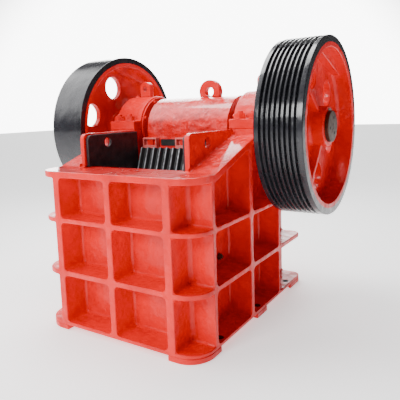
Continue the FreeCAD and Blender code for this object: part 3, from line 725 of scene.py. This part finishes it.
def shaft_piece():
    bm = bmesh.new()
    end = rim_high.x
    face = end - 0.4
    journal = turned([(-face, 20, 0), (face, 20, 0), (face, 90, 5), (-face, 90, 5)])
    lathe(bm, journal, shaft)
    for side in (-1, 1):
        lathe(bm, [(side * (end - 14), 0.8), (side * (end - 14), 21), (side * (end - 1.5), 21),
                   (side * (end - 1.5), 0.8)], shaft, sections=48)
    throw = turned([(-300, 60, 0), (300, 60, 0), (300, 110, 4), (-300, 110, 4)])
    lathe(bm, throw, eccentric)
    finish_piece(new_object("Shaft and eccentric", bm), brown_steel, "rotor", ("eccentric_shaft",))


# ---------------------------------------------------------------------------
# Everything else starts as a rounded copy of its own node
# ---------------------------------------------------------------------------
def copies():
    looks = {"red_paint": red, "manganese_steel": manganese, "toggle_iron": grey_iron,
             "shaft_steel": bolt_steel, "spring_steel": dark_spring}
    for node, width in (
            ("right_bearing_saddle", 5), ("left_bearing_saddle", 5),
            ("right_bearing_housing", 3), ("left_bearing_housing", 3),
            ("right_bearing_cap", 8), ("left_bearing_cap", 8),
            ("right_end_covers", 3), ("left_end_covers", 3),
            ("right_cap_eye", 13), ("left_cap_eye", 13),
            ("feet", 4), ("fixed_jaw_plate", 3), ("right_cheek_plate", 3), ("left_cheek_plate", 3),
            ("toggle_block", 5), ("toggle_plate", 5), ("tension_rods", 2)):
        piece = bevelled_copy(node + " finished", node, width)
        finish_piece(piece, teeth if node == "fixed_jaw_plate" else looks[slots[node]], "frame", (node,))
    own = {"swing_jaw": lumpy_red, "swing_jaw_plate": teeth, "jaw_clamp": clamp_red}
    for node, width in (("swing_jaw", 8), ("swing_jaw_plate", 3), ("jaw_clamp", 3), ("pitman_eye", 15)):
        piece = bevelled_copy(node + " finished", node, width)
        finish_piece(piece, own.get(node, red), "pitman", (node,))


# ---------------------------------------------------------------------------
# Small parts
# ---------------------------------------------------------------------------
def repeater():
    """Node group that sets one small part on every point and turns each by its own angle."""
    group = bpy.data.node_groups.new("Parts on points", "GeometryNodeTree")
    face = group.interface
    ids = {}
    for label, kind in (("Points", "Geometry"), ("Part", "Object"), ("Tilt", "Vector"), ("Scale", "Float"),
                        ("Seed", "Int"), ("Finish", "Material")):
        socket = face.new_socket(label, in_out="INPUT", socket_type="NodeSocket" + kind)
        ids[label] = socket.identifier
    face.new_socket("Mesh", in_out="OUTPUT", socket_type="NodeSocketGeometry")
    nodes, links = group.nodes, group.links
    given = nodes.new("NodeGroupInput")
    info = nodes.new("GeometryNodeObjectInfo")
    place = nodes.new("GeometryNodeInstanceOnPoints")
    angle = nodes.new("FunctionNodeRandomValue")
    angle.data_type = "FLOAT"
    axis = nodes.new("ShaderNodeCombineXYZ")
    spin = nodes.new("GeometryNodeRotateInstances")
    real = nodes.new("GeometryNodeRealizeInstances")
    paint = nodes.new("GeometryNodeSetMaterial")
    result = nodes.new("NodeGroupOutput")
    least, most = [socket for socket in angle.inputs
                   if socket.type == "VALUE" and socket.name in ("Min", "Max")]
    least.default_value = 0.0
    most.default_value = math.pi / 3
    links.new(given.outputs["Points"], place.inputs["Points"])
    links.new(given.outputs["Part"], info.inputs["Object"])
    links.new(info.outputs["Geometry"], place.inputs["Instance"])
    links.new(given.outputs["Tilt"], place.inputs["Rotation"])
    links.new(given.outputs["Scale"], place.inputs["Scale"])
    links.new(given.outputs["Seed"], angle.inputs["Seed"])
    spun = [socket for socket in angle.outputs if socket.type == "VALUE" and socket.enabled][0]
    links.new(spun, axis.inputs["Z"])
    links.new(place.outputs["Instances"], spin.inputs["Instances"])
    links.new(axis.outputs["Vector"], spin.inputs["Rotation"])
    links.new(spin.outputs["Instances"], real.inputs["Geometry"])
    links.new(real.outputs["Geometry"], paint.inputs["Geometry"])
    links.new(given.outputs["Finish"], paint.inputs["Material"])
    links.new(paint.outputs["Geometry"], result.inputs["Mesh"])
    return group, ids


def nut_on_stud(flat, height, stud, stick):
    """A washer, a hexagon nut and the stud's end, standing along +Z from its seat."""
    bm = bmesh.new()

    def place(x, y, w):
        return Vector((x, y, w)) * MM

    stack(bm, place, circle(0, 0, flat * 0.66), rounded_slab(-2, 5, 1.2, 2), steps=6)
    hexagon = [(flat * 0.577 * math.cos(k * math.pi / 3), flat * 0.577 * math.sin(k * math.pi / 3), 1.5)
               for k in range(6)]
    stack(bm, place, hexagon, rounded_slab(4.5, 4.5 + height, flat * 0.04, 2), steps=2)
    stack(bm, place, circle(0, 0, stud / 2), rounded_slab(2, 4.5 + height + stick, 1.5, 2), steps=6)
    return new_object("One nut", bm)


def grease_nipple():
    bm = bmesh.new()
    outline = turned([(-3, 0.4, 0), (16, 0.4, 0), (16, 4, 1), (11, 5, 1), (9, 11, 1), (3, 12.5, 1),
                      (-3, 12.5, 0)][::-1], 2)
    lathe(bm, outline, Vector((0, 0, 0)), sections=24)
    bmesh.ops.rotate(bm, verts=bm.verts, cent=(0, 0, 0), matrix=Matrix.Rotation(-math.pi / 2, 3, "Y"))
    return new_object("One nipple", bm)


def dark_mouth(radius):
    """Painted shade: a dark disc for the unlit mouth of a drilled hole, seen flush with its face."""
    bm = bmesh.new()
    stack(bm, lambda x, y, w: Vector((x, y, w)) * MM, circle(0, 0, radius), rounded_slab(-2, 0.5, 0.2, 2),
          steps=8)
    return new_object("One mouth", bm)


parts_on_points, socket_ids = repeater()


def spread(name, part, sets, material, body):
    """One mesh of the part set at every spot; sets are (spots, tilt in degrees)."""
    whole = bmesh.new()
    for spots, tilt in sets:
        mesh = bpy.data.meshes.new(name)
        mesh.from_pydata([tuple(Vector(spot) * MM) for spot in spots], [], [])
        obj = bpy.data.objects.new(name.replace(" ", "_").lower() + "_points", mesh)
        bpy.context.scene.collection.objects.link(obj)
        modifier = obj.modifiers.new("Parts on points", "NODES")
        modifier.node_group = parts_on_points
        modifier[socket_ids["Part"]] = part
        modifier[socket_ids["Tilt"]] = [math.radians(a) for a in tilt]
        modifier[socket_ids["Scale"]] = 1.0
        modifier[socket_ids["Seed"]] = 11
        modifier[socket_ids["Finish"]] = material
        grown(obj)
        whole.from_mesh(obj.data)
        bpy.data.objects.remove(obj)
    piece = new_object(name, whole)
    piece.data.materials.append(material)
    finish_piece(piece, material, body, ())


cap_bolt_columns = (412.0, 500.0)
cap_bolt_rise = 58.0             # the cap's bolting face above the shaft
cover_bolt_circle = 192.0
nipple_column = 545.0
tapping_circle = 52.0


def small_parts():
    nut = nut_on_stud(54.0, 28.0, 34.0, 12.0)
    cap_top = box("right_bearing_cap")[1]
    reach = (housing_radius + cap_top.y - shaft.y) / 2
    seat = shaft.z + cap_bolt_rise
    spots = [(side * x, shaft.y + way * reach, seat) for side in (-1, 1) for x in cap_bolt_columns
             for way in (-1, 1)]
    spread("Cap nuts", nut, [(spots, (0, 0, 0))], red, "frame")
    head = nut_on_stud(19.0, 8.0, 10.0, 0.5)
    cover_low, cover_high = box("right_end_covers")
    rings = []
    for x, tilt in ((cover_low.x, -90), (cover_high.x, 90)):
        for side in (-1, 1):
            spots = []
            for k in range(8):
                t = math.radians(22.5 + 45 * k)
                spots.append((side * x, shaft.y + cover_bolt_circle * math.sin(t),
                              shaft.z + cover_bolt_circle * math.cos(t)))
            rings.append((spots, (0, side * tilt, 0)))
    spread("Cover bolts", head, rings, red, "frame")
    nipple = grease_nipple()
    spots = [(side * nipple_column, shaft.y, cap_top.z) for side in (-1, 1)]
    spread("Grease nipples", nipple, [(spots, (0, 0, 0))], red, "frame")
    clamp_low, clamp_high = box("jaw_clamp")
    clamp_nut = nut_on_stud(46.0, 14.0, 28.0, 3.0)
    middle = (clamp_low.z + 24 + clamp_high.z) / 2
    spots = [(x, clamp_low.y + 26.5, middle) for x in (clamp_low.x + 56, 0, clamp_high.x - 56)]
    spread("Clamp nuts", clamp_nut, [(spots, (90, 0, 0))], red, "pitman")
    mouth = dark_mouth(21.0)
    mounts = {m["name"]: m for m in frame["record"]["mounts"]}
    anchors = mounts["anchor_bolts"]
    x_far, y_far = anchors["dims"]["spacing_x_mm"] / 2, anchors["dims"]["spacing_y_mm"] / 2
    y_middle = anchors["pos_m"][1] / MM
    # Painted shade: dark discs on the flange over the anchor holes stand in for the shade inside them.
    spots = [(side * x_far, y_middle + way * y_far, z_floor + (0.0 if way > 0 else 0.9))
             for side in (-1, 1) for way in (-1, 0, 1)]
    spread("Anchor hole mouths", mouth, [(spots, (0, 0, 0))], hollow, "frame")
    # Painted shade: dark discs on each shaft end stand in for the shade inside the tapped holes.
    centre = dark_mouth(9.0)
    end = rim_high.x - 0.5
    marks = []
    for side in (-1, 1):
        spots = []
        for k in range(3):
            t = math.radians(20 + 120 * k)
            spots.append((side * end, shaft.y + tapping_circle * math.sin(t),
                          shaft.z + tapping_circle * math.cos(t)))
        marks.append((spots, (0, side * 90, 0)))
    spread("Shaft end tappings", centre, marks, hollow, "rotor")
    plug = nut_on_stud(30.0, 12.0, 20.0, 8.0)
    bolts = [([(side * (side_out + 2), rib_faces[2] - 118, z_lower_top + 62)], (0, side * 90, 0))
             for side in (-1, 1)]
    spread("Liner bolts", plug, bolts, brown_steel, "frame")
    for template in (nut, head, nipple, clamp_nut, mouth, centre, plug):
        bpy.data.objects.remove(template)


def shaft_keys():
    """A key at each end, half in the shaft and half in the hub."""
    bm = bmesh.new()
    end = web_front + hub_reach
    for side in (-1, 1):
        key = [(shaft.y - 22, shaft.z + 72, 1), (shaft.y + 22, shaft.z + 72, 1),
               (shaft.y + 22, shaft.z + 101, 1), (shaft.y - 22, shaft.z + 101, 1)]
        stack(bm, lambda y, z, w: Vector((side * w, y, z)) * MM, key,
              rounded_slab(end - 60, end + 6, 2, 2), steps=2)
    finish_piece(new_object("Shaft keys", bm), bolt_steel, "rotor", ())


def clamp_recesses():
    """Painted shade: dark sheets in the slots between the clamp lugs, where the jaw plate's back shows."""
    low, high = box("jaw_clamp")
    bm = bmesh.new()
    for middle in (-130.0, 130.0):
        slot = [(middle - 62, low.z + 30, 6), (middle + 62, low.z + 30, 6), (middle + 62, high.z - 10, 6),
                (middle - 62, high.z - 10, 6)]
        stack(bm, lambda x, z, w: Vector((x, high.y - w, z)) * MM, slot, rounded_slab(-3, 3, 1, 2))
    finish_piece(new_object("Clamp recesses", bm), hollow, "pitman", ())


def coil_springs():
    """Wound springs round the tension rods."""
    low, high = box("tension_springs")
    wire = 7.5
    turns, sides, steps = 7.0, 10, 24
    radius = (high.z - low.z) / 2 - wire
    centre_z = (high.z + low.z) / 2
    bm = bmesh.new()
    for middle in (high.x - radius - wire, low.x + radius + wire):
        rings = []
        count = int(turns * steps)
        for k in range(count + 1):
            t = 2 * math.pi * k / steps
            y = low.y + wire + (high.y - low.y - 2 * wire) * k / count
            out = Vector((math.cos(t), 0, math.sin(t)))
            ring = []
            for j in range(sides):
                a = 2 * math.pi * j / sides
                ring.append(bm.verts.new((Vector((middle, y, centre_z)) + out * (radius + wire * math.cos(a))
                                          + Vector((0, wire * math.sin(a), 0))) * MM))
            rings.append(ring)
        for first, second in zip(rings, rings[1:]):
            ring_faces(bm, first, second)
        bm.faces.new(rings[0])
        bm.faces.new(rings[-1])
    finish_piece(new_object("Coil springs", bm), dark_spring, "frame", ("tension_springs",))


# ---------------------------------------------------------------------------
# Studio
# ---------------------------------------------------------------------------
def area_light(name, place, target, size, power, colour=(1, 1, 1)):
    data = bpy.data.lights.new(name, "AREA")
    data.shape = "RECTANGLE"
    data.size, data.size_y = size
    data.energy = power
    data.color = colour
    light = bpy.data.objects.new(name, data)
    light.location = place
    light.rotation_euler = (Vector(target) - Vector(place)).to_track_quat("-Z", "Y").to_euler()
    bpy.context.scene.collection.objects.link(light)


def room(strength, lobes):
    """A room of even strength with soft bright patches; each patch is (direction, start, full, strength)."""
    world = bpy.data.worlds.new("World")
    bpy.context.scene.world = world
    world.use_nodes = True
    tree = world.node_tree
    background = tree.nodes["Background"]
    background.inputs["Color"].default_value = (1.0, 1.0, 1.0, 1.0)
    coords = tree.nodes.new("ShaderNodeTexCoord")
    total = None
    for direction, start, full, power in lobes:
        dot = tree.nodes.new("ShaderNodeVectorMath")
        dot.operation = "DOT_PRODUCT"
        dot.inputs[1].default_value = Vector(direction).normalized()
        tree.links.new(coords.outputs["Generated"], dot.inputs[0])
        ramp = tree.nodes.new("ShaderNodeMapRange")
        ramp.interpolation_type = "SMOOTHSTEP"
        ramp.inputs["From Min"].default_value = start
        ramp.inputs["From Max"].default_value = full
        ramp.inputs["To Max"].default_value = power
        tree.links.new(dot.outputs["Value"], ramp.inputs["Value"])
        add = tree.nodes.new("ShaderNodeMath")
        if total is None:
            add.inputs[1].default_value = strength
        else:
            tree.links.new(total.outputs["Value"], add.inputs[1])
        tree.links.new(ramp.outputs["Result"], add.inputs[0])
        total = add
    tree.links.new(total.outputs["Value"], background.inputs["Strength"])


def studio():
    room(0.13, (((-0.524, 0.842, -0.127), 0.83, 0.91, 9.0), ((-0.75, -0.20, 0.60), 0.80, 0.95, 4.5)))
    bm = bmesh.new()
    size, height = 30.0, -0.0005
    corners = [bm.verts.new((x * size, y * size, height)) for x, y in ((-1, -1), (1, -1), (1, 1), (-1, 1))]
    bm.faces.new(corners)
    floor = new_object("Floor", bm)
    n = Nodes("Pale floor")
    n.set("Base Color", n.ramp(n.noise(0.4), (0.3, (0.90, 0.90, 0.90)), (0.7, (0.93, 0.93, 0.93))))
    n.set("Roughness", 0.7)
    n.shader.inputs["Emission Color"].default_value = (1.0, 1.0, 1.0, 1.0)
    n.shader.inputs["Emission Strength"].default_value = 0.8
    floor.data.materials.append(n.material)
    area_light("Key", (-0.4, -5.2, 3.2), (0.0, -0.4, 0.5), (2.2, 1.6), 290.0)
    area_light("Top", (-0.5, 0.3, 4.2), (0.0, -0.2, 0.9), (2.4, 1.6), 170.0)
    area_light("Back", (-1.5, 2.6, 2.9), (0.0, -0.3, 0.9), (2.6, 1.4), 110.0)


front_wall_piece()
rear_wall_piece()
side_piece(1, "Right")
side_piece(-1, "Left")
corner_belts()
copies()
wheel_rim(1, "Grooved rim", "pulley_rim", True)
wheel_rim(-1, "Plain rim", "flywheel_rim", False)
wheel_disc(1, "Grooved wheel web", "pulley_disc", 6, 1)
wheel_disc(-1, "Plain wheel web", "flywheel_disc", 5, -1)
wheel_gussets(1, "Grooved wheel gussets", "pulley_gussets")
wheel_gussets(-1, "Plain wheel gussets", "flywheel_gussets")
shaft_piece()
coil_springs()
shaft_keys()
clamp_recesses()
small_parts()
studio()
